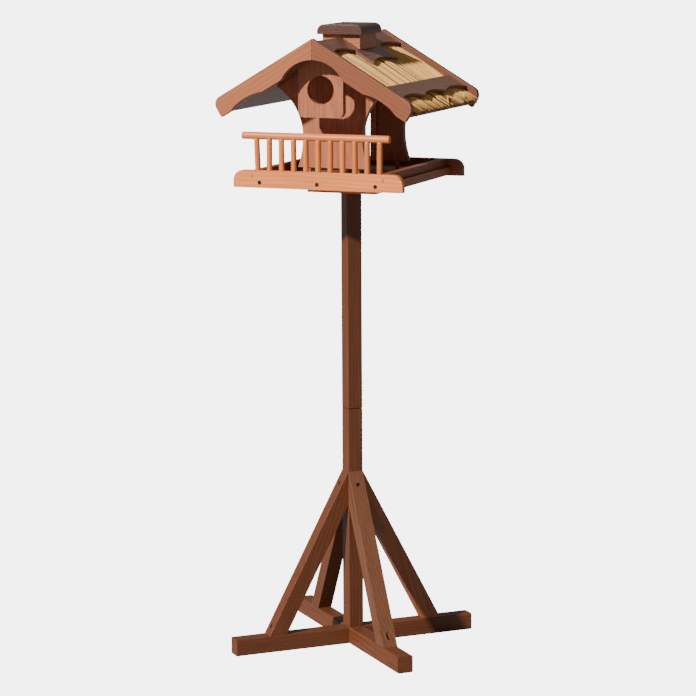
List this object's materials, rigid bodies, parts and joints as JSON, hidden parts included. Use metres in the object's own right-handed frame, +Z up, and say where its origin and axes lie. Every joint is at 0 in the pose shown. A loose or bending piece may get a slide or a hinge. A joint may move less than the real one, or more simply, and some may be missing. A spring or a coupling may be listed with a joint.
{
  "type": "bird feeder on pole",
  "caption": "Wooden bird feeding house with a reed-thatched roof and railed tray, turning on a square pole with a braced cross foot",
  "frame": {"origin": "on the ground under the pole's axis, at the middle of the foot cross's underside", "axes": "+X to the house's right seen from the front, +Y to the house's back (the railing faces -Y), +Z up along the pole"},
  "size_m": [0.493, 0.4631, 1.474],
  "materials": {
    "stand_wood": "brown stained softwood, satin glaze",
    "house_wood": "red-brown stained softwood, satin glaze",
    "wall_wood": "red-brown stained softwood, satin glaze, vertical grain",
    "roof_wood": "grey-brown stained softwood, satin glaze",
    "reed": "dry straw-coloured reed, matt",
    "steel": "zinc-plated screws, nails and staples"
  },
  "bodies": {
    "stand": {"foot_beam_long": "stand_wood", "foot_beam_cross": "stand_wood", "foot_screws": "steel", "lower_pole": "stand_wood", "pole_insert": "steel", "pole_stud": "steel", "upper_pole": "stand_wood", "brace_front": "stand_wood", "brace_right": "stand_wood", "brace_back": "stand_wood", "brace_left": "stand_wood", "brace_screws": "steel", "swivel_screw": "steel", "swivel_washer": "steel"},
    "house": {"mount_plate": "house_wood", "plate_screws": "steel", "tray_floor": "house_wood", "tray_front_board": "house_wood", "tray_back_board": "house_wood", "tray_rim_left": "house_wood", "tray_rim_right": "house_wood", "tray_screws": "steel", "rim_staples": "steel", "handrail": "house_wood", "baluster_01": "house_wood", "baluster_02": "house_wood", "baluster_03": "house_wood", "baluster_04": "house_wood", "baluster_05": "house_wood", "baluster_06": "house_wood", "baluster_07": "house_wood", "baluster_08": "house_wood", "baluster_09": "house_wood", "baluster_10": "house_wood", "baluster_11": "house_wood", "front_wall": "wall_wood", "rear_wall_left": "wall_wood", "rear_wall_right": "wall_wood", "rear_batten_left": "wall_wood", "rear_batten_right": "wall_wood", "wall_pegs": "wall_wood", "wall_screws": "steel", "gable_plaque": "wall_wood", "bargeboard_front_left": "house_wood", "bargeboard_front_right": "house_wood", "bargeboard_back_left": "house_wood", "bargeboard_back_right": "house_wood", "roof_panel_left": "roof_wood", "roof_panel_right": "roof_wood", "thatch_left": "reed", "thatch_right": "reed", "ridge_board_left": "roof_wood", "ridge_board_right": "roof_wood", "eave_batten_left": "roof_wood", "eave_batten_right": "roof_wood", "roof_nails": "steel", "chimney_block": "house_wood", "chimney_cap": "roof_wood"}
  },
  "joints": [
    {"name": "house_swivel", "type": "hinge", "parent": "stand", "child": "house", "pos_m": [0, 0, 1.0847], "axis": [0, 0, 1], "continuous": true}
  ]
}
